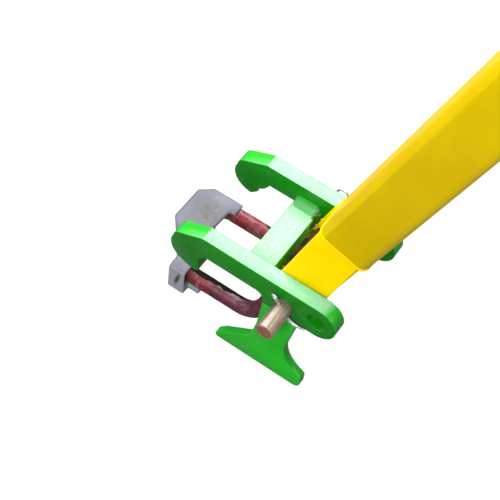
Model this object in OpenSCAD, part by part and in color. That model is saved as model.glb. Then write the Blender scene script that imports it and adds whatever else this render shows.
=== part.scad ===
// Hand lever tool that pushes a sprung rail clip home.
// X runs from the hooks to the rear lobes, Y across the tool and Z up.
// The origin is midway between the side plates, where each hook's inner face
// meets the seat line under the bar.

/* [Side plates] */
// Clear gap between the two side plates
plate_gap = 80; // [74:1:90]
// Thickness of each side plate
plate_t = 14; // [10:1:18]
// Height of the bar above the seat line
bar_depth = 24; // [20:1:30]
// Straight length of the seat behind the hook's inner face
throat_length = 56; // [50:1:60]
// Radius of the inside corner at the rear of the throat
throat_r = 8; // [4:1:12]
// Radius of each round hook
hook_r = 19.5; // [17:0.5:21]
// Reach of the hook's nose in front of its inner face
hook_reach = 28.5; // [24:0.5:32]
// Drop of the round hook below the seat line
hook_drop = 23.5; // [21:0.5:26]
// Depth of the toe that hangs below the left hook
toe_depth = 2.5; // [1:0.5:4]
// Length of the sloping face on top of the hook
facet_length = 30.5; // [24:0.5:32]
// Rounding at the lower end of that face
facet_r = 9; // [4:0.5:12]
// Slope of that face in degrees
facet_slope = 25.5; // [15:0.5:35]
// Depth of the plate below the seat line round the pivot
pivot_web = 12; // [11:1:18]

/* [Pivot] */
// Distance from the hook's inner face to the pivot pin
pivot_x = 84; // [78:1:90]
// Height of the pivot pin above the seat line
pivot_z = 2; // [0:0.5:4]
// Diameter of the pivot pin
pin_d = 16; // [12:1:18]
// Radial clearance of the pin in each side plate
plate_fit = 0.05; // [0.02:0.01:0.1]
// Radial clearance of the pin in the lever's sleeve
sleeve_fit = 0.06; // [0.02:0.01:0.1]
// Distance from the pivot pin back to the spare hole
spare_pitch = 29.5; // [24:0.5:34]
// Diameter of the spare hole in the rear lobes
spare_d = 17; // [13:0.5:19]
// Length of the pin that stands out past the left plate
pin_left_out = 30; // [20:1:40]
// Length of the pin that stands out past the right plate
pin_right_out = 12; // [10:1:20]
// Chamfer at each end of the pin
pin_chamfer = 1; // [0.5:0.1:2]
// Distance from each plate to the middle of its split pin
split_offset = 4; // [3.5:0.5:5]
// Distance from the pin's axis to each split pin's eye
split_reach = 22; // [16:1:26]
// Diameter of each split pin's shank
split_d = 4; // [3:0.5:5]
// Outer diameter of each split pin's eye
split_eye_d = 11; // [8:0.5:12]
// Length of the bent legs past the pin
split_leg = 15; // [8:1:20]
// Slope of the split pins in degrees below the rearward direction
split_tilt = 43; // [0:1:90]

/* [Foot] */
// Thickness of the foot plate under the left side plate
foot_t = 8; // [6:1:10]
// Depth of the sole below the seat line
sole_drop = 107; // [95:1:120]
// Position of the front end of the sole
toe_x = 25; // [15:1:35]
// Position of the rear end of the sole
heel_x = 113.5; // [108:0.5:118]
// Width of the stem where it meets the side plate
stem_top_w = 34.5; // [30:0.5:38]
// Width of the stem at its narrowest
stem_low_w = 30.5; // [26:0.5:34]
// Height above the sole of the corner between stem and front of the foot
front_corner_h = 34; // [28:0.5:40]
// Height of the foot's blunt front end
toe_h = 12.5; // [8:0.5:16]
// Radius of the hollow behind the stem
waist_r = 34; // [28:1:40]
// Turn in degrees of that hollow below the narrowest part of the stem
waist_turn = 57; // [45:1:70]
// Height of the lip at the rear end of the foot
heel_lip = 3.5; // [2:0.5:5]
// Height of the rounded rear end of the foot
heel_height = 17; // [15:1:20]

/* [Cross bar] */
// Position of the front face of the cross bar
cross_x = 33.3; // [20:0.1:33.5]
// Width of the cross bar
cross_w = 24; // [18:1:25]
// Height of the top of the cross bar above the seat line
cross_top = 4; // [3:0.5:12]
// Depth of the cross bar
cross_depth = 22; // [12:1:24]
// Leg of the large fillet welds on top of the cross bar
weld_leg = 8; // [5:0.5:9]
// Leg of the welds on the foot and round the end of the tube
weld_small = 5; // [3:0.5:6]

/* [Lever] */
// Backward lean of the lever in degrees at the end of its stroke
lean = 18.2; // [10:0.1:20]
// Outside width of the square lever tube
tube_w = 48; // [46:1:60]
// Wall of the lever tube
tube_wall = 4; // [3:0.5:5]
// Outer corner radius of the lever tube
tube_r = 8; // [4.5:0.5:9]
// Shift of the tube toward the back of the lever
tube_shift = 2.8; // [0:0.2:4]
// Distance from the pivot to the lower end of the tube
tube_start = 68; // [62:1:80]
// Distance from the pivot to the upper end of the tube
tube_end = 1150; // [700:10:1500]
// Width of the hub and its cheeks
hub_w = 41; // [36:1:42]
// Distance from the pivot to the top of the core bar inside the tube
core_top = 160; // [120:5:220]
// Thickness of each flared cheek
cheek_t = 8; // [6:1:10]
// Depth of the cheeks' front corner below the pivot, which meets the cross bar
stop_drop = 22; // [20:0.1:22.3]
// Leg of the smallest fillets, round the sleeve and behind the cross bar
weld_ring = 3; // [2:0.5:3]
// Distance from the pivot to the bend of the cheeks
cheek_bend = 17; // [10:1:22]
// Gap between each cheek and its side plate
cheek_gap = 0.6; // [0.4:0.1:1.5]
// Outside diameter of the pivot sleeve
sleeve_d = 26; // [22:1:28]
// Thickness of the rim of the plug in the upper end of the tube
plug_rim = 4; // [3:0.5:6]
// Depth of the plug inside the tube
plug_depth = 25; // [15:1:40]

/* [Pusher] */
// Radius of the pushing nose
nose_r = 9; // [7:0.5:10]
// Length of the pushing nose
nose_length = 40; // [36:1:45]
// Drop from the pivot to the nose
nose_drop = 38.5; // [36:0.5:42]
// Thickness of the pusher arm
arm_t = 15; // [12:1:17]
// Width of the pusher arm
arm_w = 34; // [26:1:36]
// Running gap between the nose and the clip
nose_gap = 0.3; // [0.2:0.05:0.5]

/* [Clip] */
// Diameter of the sprung rod
rod_d = 15; // [13:1:16]
// Distance from the middle of the tool to each leg of the clip
leg_y = 38; // [34:0.5:38]
// Height of the clip's front part below the seat line
leg_drop = 65.5; // [62:0.5:70]
// Height of the clip's heel below the seat line
heel_drop = 36; // [34:0.5:38]
// Position of the middle of the clip's heel
clip_heel_x = 58.5; // [56:0.5:64]
// Run of each leg from its rear bend up to the heel
heel_run = 15.5; // [14:0.5:16]
// Distance from the heel's corners forward to its straight middle
heel_bow = 5; // [3:0.5:5.5]
// Half the length of that straight middle
heel_flat = 24; // [23:0.5:25]
// Gap between the two ends of the rod
heel_split = 12; // [8:1:20]
// Position of the right front corner of the rod
right_toe_x = -40; // [-44:1:-34]
// Position of the left front corner of the rod
left_toe_x = -21; // [-30:1:-18]
// Radius of the rod's bends
bend_r = 13; // [12:0.5:13.5]

/* [Insulator] */
// Thickness of the flat top of the insulator
pad_t = 3; // [2:0.5:5]
// Thickness of the insulator's walls
pad_wall = 2; // [1.5:0.5:3]
// Running gap between the insulator and the rod
pad_fit = 0.4; // [0.2:0.1:0.6]
// Reach of the pad in front of the rod's right corner
pad_reach = 20; // [16:1:24]
// Depth of the pad from front to back at its right end
pad_depth = 38; // [30:1:44]
// Length of the pad's straight front edge
pad_front = 36; // [28:1:42]
// Size of the pad's cut front corner
pad_cut = 11; // [6:1:16]
// Width of the cap round the left leg
cap_w = 16; // [14:1:20]
// Length of the cap round the left leg
cap_l = 17; // [14:0.5:22]
// Height of the cap from its foot to the top of the pad
cap_h = 32.5; // [26:0.5:38]
// Length of the tab behind the foot of the cap
tab_l = 11; // [6:0.5:14]
// Width of the tab behind the foot of the cap
tab_w = 8; // [5:0.5:12]
// Height of the tab behind the foot of the cap
tab_h = 8; // [5:0.5:10]

/* [Hidden] */
$fn = 72;
green = [0.13, 0.55, 0.14];
yellow = [0.93, 0.78, 0.05];
inner_y = plate_gap / 2;
outer_y = inner_y + plate_t;
lobe_r = (bar_depth + pivot_web) / 2;
lobe_z = (bar_depth - pivot_web) / 2;
lobe_x = pivot_x + spare_pitch;
hook_c = [hook_r - hook_reach, hook_r - hook_drop];
facet_top = [2, bar_depth];
facet_low = facet_top - facet_length * [cos(facet_slope), sin(facet_slope)];
stem_x = throat_length + throat_r;
pin_r = pin_d / 2;
swing = 100;
rod_r = rod_d / 2;
pusher_x = clip_heel_x + rod_r + nose_gap + nose_r;
cheek_y = inner_y - cheek_gap;
bore = tube_w - 2 * tube_wall;

function unit(v) = v / norm(v);
// Points of the round corner at b between a and c
function corner(a, b, c, r, steps = 8) =
    let (u = unit(a - b), w = unit(c - b), half = acos(u * w) / 2)
    let (m = b + unit(u + w) * r / sin(half), p = b + u * r / tan(half) - m)
    let (q = b + w * r / tan(half) - m, a0 = atan2(p.y, p.x))
    let (turn = (atan2(q.y, q.x) - a0 + 540) % 360 - 180)
    [for (i = [0:steps]) m + r * [cos(a0 + turn * i / steps), sin(a0 + turn * i / steps)]];
// Outline from a list of [x, z, radius]
function rounded(list) = [for (i = [0:len(list) - 1])
    let (n = len(list), a = list[(i + n - 1) % n], b = list[i], c = list[(i + 1) % n])
    each b.z > 0 ? corner([a.x, a.y], [b.x, b.y], [c.x, c.y], b.z) : [[b.x, b.y]]];

// Extrudes an X Z outline along Y from y0 over a thickness
module along_y(y0, t) {
    translate([0, y0 + t, 0]) rotate([90, 0, 0]) linear_extrude(t) children();
}
module y_cylinder(r, y0, y1) {
    translate([0, y1, 0]) rotate([90, 0, 0]) cylinder(r = r, h = y1 - y0);
}
// Carries the lever's own frame, with the pivot at its origin, to its leaning place
module leaned() {
    translate([pivot_x, 0, pivot_z]) rotate([0, lean, 0]) children();
}
// Right triangle with its square corner at the origin
module wedge(a, b) {
    polygon([[0, 0], [a, 0], [0, b]]);
}

module side_outline() {
    difference() {
        union() {
            translate(hook_c) circle(hook_r);
            polygon(rounded([[facet_top.x, facet_top.y, 0], [facet_low.x, facet_low.y, facet_r],
                [-hook_reach, hook_c.y, 0], [facet_top.x, hook_c.y, 0]]));
            translate([facet_top.x, 0]) square([lobe_x - facet_top.x, bar_depth]);
            translate([stem_x, -pivot_web]) square([lobe_x - stem_x, pivot_web + 1]);
            difference() {
                translate([throat_length, -throat_r]) square([throat_r + 1, throat_r + 1]);
                translate([throat_length, -throat_r]) circle(throat_r);
            }
            translate([lobe_x, lobe_z]) circle(lobe_r);
        }
        children();
    }
}
// Left hook, with a toe at its tip
module left_outline() {
    side_outline() polygon([[0.8, -2 * hook_drop], [0.8, -hook_drop + 6], [-0.8, -12],
        [-0.6, -9], [4, -1.2], [8, 0], [hook_r, 0], [hook_r, -2 * hook_drop]]);
    polygon(rounded([[-13.5, -hook_drop - 0.4, 0], [-5, -hook_drop - toe_depth, 3],
        [0.8, -hook_drop - toe_depth, 3.5], [0.8, -hook_drop + 6, 0], [-8, -12, 0]]));
}
// Right hook, cut back at its tip
module right_outline() {
    side_outline() polygon([[-10.5, -2 * hook_drop], [-9, -hook_drop + 0.3], [-3.2, -17],
        [-2.8, -12.3], [2.6, -8.4], [5.4, -4], [7.6, 0], [hook_r, 0], [hook_r, -2 * hook_drop]]);
}
module side_plate(y0) {
    difference() {
        along_y(y0, plate_t) children();
        translate([pivot_x, 0, pivot_z]) y_cylinder(pin_r + plate_fit, y0 - 1, y0 + plate_t + 1);
        translate([lobe_x, 0, lobe_z]) y_cylinder(spare_d / 2, y0 - 1, y0 + plate_t + 1);
    }
}
module side_plate_left() {
    color(green) side_plate(-outer_y) left_outline();
}
module side_plate_right() {
    color(green) side_plate(inner_y) right_outline();
}

// T shaped foot under the left plate, flush with its outer face
module foot_plate() {
    stem_rear = stem_x + stem_top_w;
    waist_x = stem_x - 2.7 + stem_low_w;
    heel_top = -sole_drop + heel_height;
    waist_c = [waist_x + waist_r, heel_top + heel_lip + waist_r * sin(waist_turn)];
    hollow_x = waist_c.x - waist_r * cos(waist_turn);
    front = [
        [stem_x, -pivot_web, 0], [stem_x, -pivot_web - 6, 0],
        [stem_x - 1.8, (front_corner_h - sole_drop - pivot_web) / 2 - 5, 40],
        [stem_x - 5.8, front_corner_h - sole_drop, 12], [toe_x + toe_h / 2, toe_h - sole_drop, 14],
        [toe_x - 0.5, toe_h * 0.3 - sole_drop, 2.5], [toe_x + 1.5, -sole_drop, 2]
    ];
    rear = [
        [heel_x, -sole_drop, 6.5], [heel_x, heel_top, 4.5], [hollow_x, heel_top + heel_lip, 0]
    ];
    hollow = [for (i = [1:10]) let (a = 180 + waist_turn * (1 - i / 10))
        [waist_c.x + waist_r * cos(a), waist_c.y + waist_r * sin(a), 0]];
    top = [[stem_rear, -pivot_web, 0]];
    color(green) along_y(-outer_y, foot_t) polygon(rounded(concat(front, rear, hollow, top)));
}
// Weld along the inner face of the stem and in the corner behind it
module foot_welds() {
    stem_rear = stem_x + stem_top_w;
    color(green) {
        translate([stem_x + 1, -outer_y + foot_t, -pivot_web])
            rotate([90, 0, 90]) linear_extrude(stem_top_w - 2) wedge(plate_t - foot_t, -weld_small);
        translate([stem_rear, -outer_y + 0.5, -pivot_web])
            along_y(0, foot_t - 1) polygon([[0, 0], [weld_leg, 0], [weld_leg * 0.35, -weld_leg * 0.5],
                [-weld_leg * 0.12, -weld_leg]]);
    }
}

module cross_bar() {
    color(green) translate([cross_x, -inner_y, cross_top - cross_depth])
        cube([cross_w, plate_gap, cross_depth]);
}
// Large fillets on top of the cross bar and small upright ones behind it
module cross_bar_welds() {
    color(green) for (side = [0, 1]) mirror([0, side, 0]) {
        translate([cross_x, inner_y, cross_top])
            rotate([90, 0, 90]) linear_extrude(cross_w)
            polygon([[0, 0], [0, weld_leg], [-weld_leg * 0.4, weld_leg * 0.4], [-weld_leg, 0]]);
        translate([cross_x + cross_w, inner_y, 0])
            linear_extrude(cross_top) wedge(weld_ring, -weld_ring);
    }
}

module pivot_pin() {
    y0 = -outer_y - pin_left_out;
    y1 = outer_y + pin_right_out;
    color([0.8, 0.76, 0.66]) translate([pivot_x, 0, pivot_z]) difference() {
        translate([0, y1, 0]) rotate([90, 0, 0]) rotate_extrude() polygon([[0, 0],
            [pin_r - pin_chamfer, 0], [pin_r, pin_chamfer], [pin_r, y1 - y0 - pin_chamfer],
            [pin_r - pin_chamfer, y1 - y0], [0, y1 - y0]]);
        for (y = [-outer_y - split_offset, outer_y + split_offset]) translate([0, y, 0])
            rotate([0, 90 + split_tilt, 0]) cylinder(r = split_d / 2 + 0.1, h = swing, center = true);
    }
}
// Split pin along X with its eye in front and its legs bent apart behind
module split_pin(eye_turn) {
    wire = split_d / 2;
    ring = split_eye_d / 2 - wire / 2;
    neck = pin_r + 1.5;
    rotate([eye_turn, 0, 0]) translate([-split_reach, 0, 0])
        rotate_extrude() translate([ring, 0]) circle(wire / 2, $fn = 24);
    rotate([0, 90, 0]) translate([0, 0, -split_reach + ring])
        cylinder(r = wire, h = split_reach - ring + neck, $fn = 48);
    for (leg = [[-38, split_leg], [8, split_leg * 0.6]]) translate([neck, 0, 0])
        rotate([0, 90 + leg[0], 0]) translate([0, 0, -0.6])
            cylinder(r = wire * 0.6, h = leg[1], $fn = 24);
}
module split_pins() {
    color([0.82, 0.83, 0.85]) {
        translate([pivot_x, -outer_y - split_offset, pivot_z]) rotate([0, split_tilt, 0])
            split_pin(60);
        translate([pivot_x, outer_y + split_offset, pivot_z]) rotate([0, split_tilt, 0])
            split_pin(90);
    }
}

// Square bar that fills the foot of the tube and turns on the sleeve
module lever_core() {
    front = tube_shift - bore / 2;
    back = tube_shift + bore / 2;
    color(yellow) leaned() along_y(-bore / 2, bore) difference() {
        union() {
            polygon([[-bore / 2, 0], [bore / 2, 0], [back, cheek_bend], [back, core_top],
                [front, core_top], [front, cheek_bend]]);
            circle(bore / 2);
        }
        circle(sleeve_d / 2);
    }
}
// Section of both cheeks, flaring from the foot of the tube to the side plates
module cheek_section() {
    y_top = tube_w / 2 - 1;
    top = tube_start;
    for (side = [0, 1]) mirror([side, 0]) polygon([[cheek_y, -swing], [cheek_y, cheek_bend],
        [y_top, top], [bore / 2, top], [bore / 2, top - 12],
        [cheek_y - cheek_t, cheek_bend - 1], [cheek_y - cheek_t, -swing]]);
}
module hub_cheek(side) {
    half = hub_w / 2;
    color(yellow) leaned() difference() {
        intersection() {
            rotate([90, 0, 90]) linear_extrude(hub_w, center = true) cheek_section();
            along_y(side * inner_y - inner_y, plate_gap) polygon(rounded([
                [-half, tube_start, 0], [-half, -stop_drop, 2], [2, -stop_drop, 8],
                [half, -8, 14], [half, tube_start, 0]]));
        }
        y_cylinder(sleeve_d / 2, -swing, swing);
    }
}
module hub_cheek_left() {
    hub_cheek(-1);
}
module hub_cheek_right() {
    hub_cheek(1);
}
module pivot_sleeve() {
    length = plate_gap - cheek_gap;
    color(yellow) leaned() difference() {
        y_cylinder(sleeve_d / 2, -length / 2, length / 2);
        y_cylinder(pin_r + sleeve_fit, -length, length);
    }
}
// Ring welds that join the sleeve to the inner faces of the cheeks
module sleeve_welds() {
    color(yellow) leaned() for (side = [0, 1]) mirror([0, side, 0])
        translate([0, cheek_y - cheek_t, 0]) rotate([90, 0, 0])
            rotate_extrude() translate([sleeve_d / 2, 0]) wedge(weld_ring, weld_ring);
}
module round_square(w, r) {
    square([w, w - 2 * r], center = true);
    square([w - 2 * r, w], center = true);
    for (x = [-1, 1], y = [-1, 1]) translate([x, y] * (w / 2 - r)) circle(r);
}
module lever_tube() {
    color(yellow) leaned() translate([tube_shift, 0, tube_start])
        linear_extrude(tube_end - tube_start) difference() {
            round_square(tube_w, tube_r);
            square(bore, center = true);
        }
}
// Bead round the foot of the tube
module tube_end_weld() {
    color(yellow) leaned() difference() {
        translate([tube_shift, 0, tube_start - weld_small]) linear_extrude(weld_small)
            round_square(tube_w + 2, tube_r + 1);
        translate([tube_shift, 0, 0]) cube([bore, bore, 2 * tube_end], center = true);
        rotate([90, 0, 90]) linear_extrude(hub_w, center = true) cheek_section();
    }
}
module tube_plug() {
    color([0.12, 0.12, 0.12]) leaned() translate([tube_shift, 0, tube_end]) {
        translate([0, 0, -plug_depth]) linear_extrude(plug_depth + plug_rim)
            square(bore, center = true);
        linear_extrude(plug_rim) round_square(tube_w, tube_r);
    }
}

// Arm under the core that carries the nose, and the nose, in the lever's own frame
nose_a = (pusher_x - pivot_x) * cos(lean) + nose_drop * sin(lean);
nose_s = (pusher_x - pivot_x) * sin(lean) - nose_drop * cos(lean);
module pusher_arm() {
    color(yellow) leaned() along_y(-arm_w / 2, arm_w) difference() {
        polygon([[nose_a - arm_t / 2, 0], [nose_a + arm_t / 2, 0], [nose_a + arm_t / 2, nose_s],
            [nose_a - arm_t / 2, nose_s]]);
        circle(bore / 2);
        translate([nose_a, nose_s]) circle(nose_r);
    }
}
module pusher_nose() {
    color([0.45, 0.45, 0.47]) leaned()
        along_y(-nose_length / 2, nose_length) translate([nose_a, nose_s]) circle(nose_r);
}

// Corners of half the sprung rod as [point, radius], from the front bar to the cut end
function half_path(side, toe_x) = [
    [[toe_x, side * leg_y, -leg_drop], bend_r],
    [[clip_heel_x + heel_bow - heel_run, side * leg_y, -leg_drop + 1], bend_r * 1.7],
    [[clip_heel_x + heel_bow, side * leg_y, -heel_drop], bend_r * 0.8],
    [[clip_heel_x, side * heel_flat, -heel_drop], bend_r * 0.5],
    [[clip_heel_x, side * heel_split / 2, -heel_drop], 0]
];
// Arc that rounds the corner at b between a and c
function bend(a, b, c, r, steps = 9) =
    let (u = unit(a - b), w = unit(c - b), half = acos(u * w) / 2)
    let (m = b + unit(u + w) * r / sin(half), p = b + u * r / tan(half) - m)
    let (up = unit(p), across = unit(b + w * r / tan(half) - m - up * (up
        * (b + w * r / tan(half) - m))))
    [for (i = [0:steps]) let (t = (180 - 2 * half) * i / steps)
        m + r * (cos(t) * up + sin(t) * across)];
function reversed(list) = [for (i = [len(list) - 1:-1:0]) list[i]];
function rod_points() =
    let (list = concat(reversed(half_path(-1, left_toe_x)), half_path(1, right_toe_x)))
    let (n = len(list) - 1)
    concat([list[0][0]], [for (i = [1:n - 1])
        each bend(list[i - 1][0], list[i][0], list[i + 1][0], list[i][1])], [list[n][0]]);
// Tube of round section along a line of points
module swept(points, r, sides = 16) {
    n = len(points);
    rings = [for (i = [0:n - 1])
        let (f = unit(points[min(i + 1, n - 1)] - points[max(i - 1, 0)]))
        let (side = unit(cross(f, [0, 0, 1])), up = cross(side, f))
        for (k = [0:sides - 1]) points[i] + r * (cos(360 * k / sides) * side
            + sin(360 * k / sides) * up)];
    walls = [for (i = [0:n - 2], k = [0:sides - 1])
        let (a = i * sides + k, b = i * sides + (k + 1) % sides)
        each [[a, a + sides, b], [b, a + sides, b + sides]]];
    first = [for (k = [1:sides - 2]) [0, k, k + 1]];
    last = [for (k = [1:sides - 2]) [for (v = [0, k + 1, k]) (n - 1) * sides + v]];
    polyhedron(rings, concat(walls, first, last));
}
module clip_rod() {
    color([0.55, 0.18, 0.17]) swept(rod_points(), rod_r);
}
// Moulded cap over the front of the clip, with a wide flat pad on the right
module toe_insulator() {
    seat = -leg_drop + rod_r + pad_fit;
    top = seat + pad_t;
    left_y = -leg_y - rod_r - pad_fit - pad_wall;
    right_y = leg_y + rod_r - 1;
    slant = (left_toe_x - right_toe_x) * cap_w / (4 * leg_y);
    cap_x = left_toe_x - slant - rod_r - pad_fit - pad_wall;
    cap_back = cap_x + cap_l;
    front_x = right_toe_x - pad_reach;
    front_y = right_y - pad_cut + 1;
    pad = [[front_x, front_y, 2], [front_x + pad_cut + 1, right_y, 3],
        [front_x + pad_depth - pad_cut, right_y, 3], [front_x + pad_depth, right_y - 3, 2],
        [front_x + pad_depth - 1.8, front_y - pad_front * 0.75, 3],
        [cap_back, left_y + cap_w * 1.4, 4], [cap_back, left_y, 2], [cap_x, left_y, 4],
        [cap_x, left_y + cap_w * 0.75, 2],
        [front_x + pad_cut * 1.3, front_y - pad_front - pad_cut * 1.6, 2],
        [front_x, front_y - pad_front, 2]];
    color([0.66, 0.68, 0.74]) difference() {
        union() {
            translate([0, 0, seat]) linear_extrude(pad_t) polygon(rounded(pad));
            translate([cap_x, left_y, top - cap_h]) cube([cap_l, cap_w, cap_h - pad_t]);
            translate([cap_back - 1, left_y + cap_w - tab_w, top - cap_h])
                cube([tab_l + 1, tab_w, tab_h]);
        }
        translate([cap_x + pad_wall, left_y + pad_wall, seat - rod_d - 2 * pad_fit])
            cube([2 * swing, 2 * swing, rod_d + 2 * pad_fit]);
    }
}

side_plate_left();
side_plate_right();
foot_plate();
foot_welds();
cross_bar();
cross_bar_welds();
pivot_pin();
split_pins();
lever_core();
hub_cheek_left();
hub_cheek_right();
pivot_sleeve();
sleeve_welds();
lever_tube();
tube_end_weld();
tube_plug();
pusher_arm();
pusher_nose();
clip_rod();
toe_insulator();
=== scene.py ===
import bpy
import bmesh
import math
from mathutils import Matrix, Vector, noise


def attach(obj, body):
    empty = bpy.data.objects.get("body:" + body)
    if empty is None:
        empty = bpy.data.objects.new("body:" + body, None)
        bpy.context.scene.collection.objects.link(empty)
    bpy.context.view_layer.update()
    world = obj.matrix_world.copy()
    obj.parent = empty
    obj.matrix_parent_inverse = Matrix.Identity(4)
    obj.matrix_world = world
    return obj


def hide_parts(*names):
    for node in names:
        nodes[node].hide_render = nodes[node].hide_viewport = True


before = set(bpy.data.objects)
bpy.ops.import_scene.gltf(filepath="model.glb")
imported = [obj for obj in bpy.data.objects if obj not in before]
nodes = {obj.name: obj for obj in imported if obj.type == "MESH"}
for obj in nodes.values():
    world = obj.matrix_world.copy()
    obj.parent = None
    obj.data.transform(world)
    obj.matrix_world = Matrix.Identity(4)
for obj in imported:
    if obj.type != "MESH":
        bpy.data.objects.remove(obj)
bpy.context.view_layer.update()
scene = bpy.context.scene
mm = 0.001
pivot = Vector((84, 0, 2)) * mm
lean = math.radians(18.2)   # of the lever in the photograph, which is its rest pose
leverFrame = Matrix.Translation(pivot) @ Matrix.Rotation(lean, 4, "Y")
print("frame loaded,", len(nodes), "nodes")


def linear(hexColour):
    parts = [int(hexColour[i:i + 2], 16) / 255 for i in (1, 3, 5)]
    return tuple(c / 12.92 if c <= 0.04045 else ((c + 0.055) / 1.055) ** 2.4 for c in parts) + (1.0,)


def add(tree, kind, settings=None, links=None):
    # a link starts at a socket or at a node's first live output, and a hex text in its place is a colour
    node = tree.nodes.new("ShaderNode" + kind)
    for key, value in (settings or {}).items():
        if key == "stops":
            for stop, (position, colour) in zip(node.color_ramp.elements, value.items()):
                stop.position, stop.color = position, linear(colour)
        elif isinstance(key, str) and hasattr(node, key):
            setattr(node, key, value)
        else:
            node.inputs[key].default_value = value
    for key, source in (links or {}).items():
        if isinstance(source, str):
            node.inputs[key].default_value = linear(source)
            continue
        if isinstance(source, bpy.types.Node):
            source = next(output for output in source.outputs if output.enabled)
        tree.links.new(source, node.inputs[key])
    return node


def newMaterial(name):
    made = bpy.data.materials.new(name)
    made.use_nodes = True
    made.node_tree.nodes.clear()
    return made, made.node_tree


def patternsOf(tree, coords, table):
    # soft blotches by name: their width in millimetres, detail, roughness and, for a mask, its two ends
    drawn = {}
    for name, (size, detail, rough, *ends) in table.items():
        drawn[name] = add(tree, "TexNoise", {"Scale": 1000 / size, "Detail": detail, "Roughness": rough},
                          {"Vector": coords})
        if ends:
            drawn[name] = add(tree, "ValToRGB", {"stops": dict(zip(ends, ("#000000", "#FFFFFF")))},
                              {"Fac": drawn[name]})
    return drawn


def layered(tree, colour, layers):
    # tints laid over a colour in turn, each where its mask is white and at its share
    for mask, share, tint in layers:
        if share < 1:
            mask = add(tree, "Math", {"operation": "MULTIPLY", 1: share}, {0: mask})
        colour = add(tree, "Mix", {"data_type": "RGBA"}, {0: mask, 6: colour, 7: tint})
    return colour


def edgeMask(tree, normal, radius, low, high):
    # 1 along outer edges: the rounded normal leans away from the true one there
    rounded = add(tree, "Bevel", {"samples": 6, "Radius": radius * mm})
    match = add(tree, "VectorMath", {"operation": "DOT_PRODUCT"}, {0: rounded, 1: normal})
    return add(tree, "ValToRGB", {"stops": {low: "#FFFFFF", high: "#000000"}}, {"Fac": match})


print("helpers ready")

# Where the core strikes the cross bar its paint has worn through to brown rust, which turns black further forward: the
# black is painted shade of the gap between the bar and the lever. The ends are millimetres ahead of the pivot and up
# the lever.
strikeAndShade = {"rustEnds": (-14.5, -15.1), "gapShadeEnds": (-16.975, -17.8), "topEnds": (25, 23), "ragged": 2.4,
          "uneven": 16, "rust": "#341E0A", "rustLight": "#5C3410", "gapShade": "#1A1206"}
strikeAndShadePatterns = {"ragged": (5, 5, 0.7), "uneven": (10, 4, 0.5), "soot": (9, 4, 0.6, 0.42, 0.58),
                  "patches": (14, 3, 0.5, 0.44, 0.56)}


def strikeAndShadeLayers(tree, coords):
    drawn = patternsOf(tree, coords, strikeAndShadePatterns)
    offset = add(tree, "VectorMath", {"operation": "SUBTRACT", 1: pivot}, {0: coords})
    ahead = add(tree, "VectorMath", {"operation": "DOT_PRODUCT", 1: (math.cos(lean), 0, -math.sin(lean))},
                {0: offset})
    ahead = add(tree, "Math", {"operation": "MULTIPLY_ADD", 1: strikeAndShade["ragged"] * mm},
                {0: drawn["ragged"], 2: ahead})
    height = add(tree, "VectorMath", {"operation": "DOT_PRODUCT", 1: (math.sin(lean), 0, math.cos(lean))},
                 {0: offset})
    height = add(tree, "Math", {"operation": "MULTIPLY_ADD", 1: strikeAndShade["uneven"] * mm},
                 {0: drawn["uneven"], 2: height})
    ends = {}
    for key, source in (("rustEnds", ahead), ("gapShadeEnds", ahead), ("topEnds", height)):
        first, full = strikeAndShade[key]
        ends[key] = add(tree, "MapRange", {"From Min": first * mm, "From Max": full * mm}, {"Value": source})
    rust = add(tree, "Math", {"operation": "MULTIPLY"}, {0: ends["rustEnds"], 1: ends["topEnds"]})
    rustTint = add(tree, "Mix", {"data_type": "RGBA"}, {0: drawn["soot"], 6: strikeAndShade["rust"], 7: strikeAndShade["rustLight"]})
    gapShade = add(tree, "Math", {"operation": "MULTIPLY"}, {0: ends["gapShadeEnds"], 1: drawn["patches"]})
    gapShade = add(tree, "Math", {"operation": "MULTIPLY"}, {0: gapShade, 1: ends["topEnds"]})
    return [(rust, 1, rustTint), (gapShade, 1, strikeAndShade["gapShade"])]


# Gloss enamel sprayed over steel plate: deep even colour, faint orange peel, a little dulling and small chips down to
# grey primer along the edges, which are also paler there, partly rubbed and partly a painted highlight. Faces that turn
# upward get a lighter or darker tint as painted light, and the flat tops a pale painted reflection with a fine speckle.
# Real orange peel is about 1 mm, and is drawn at 2.2 mm so that it shows.
enamelPatterns = {"broad": (45, 3, 0.5, 0.35, 0.65), "dust": (9, 5, 0.5, 0.52, 0.75), "speckle": (1.8, 4, 0.7),
                  "ragged": (3, 5, 0.7), "haze": (22, 4, 0.5, 0.3, 0.75), "peel": (2.2, 2, 0.5),
                  "waves": (14, 2, 0.5)}


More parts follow.
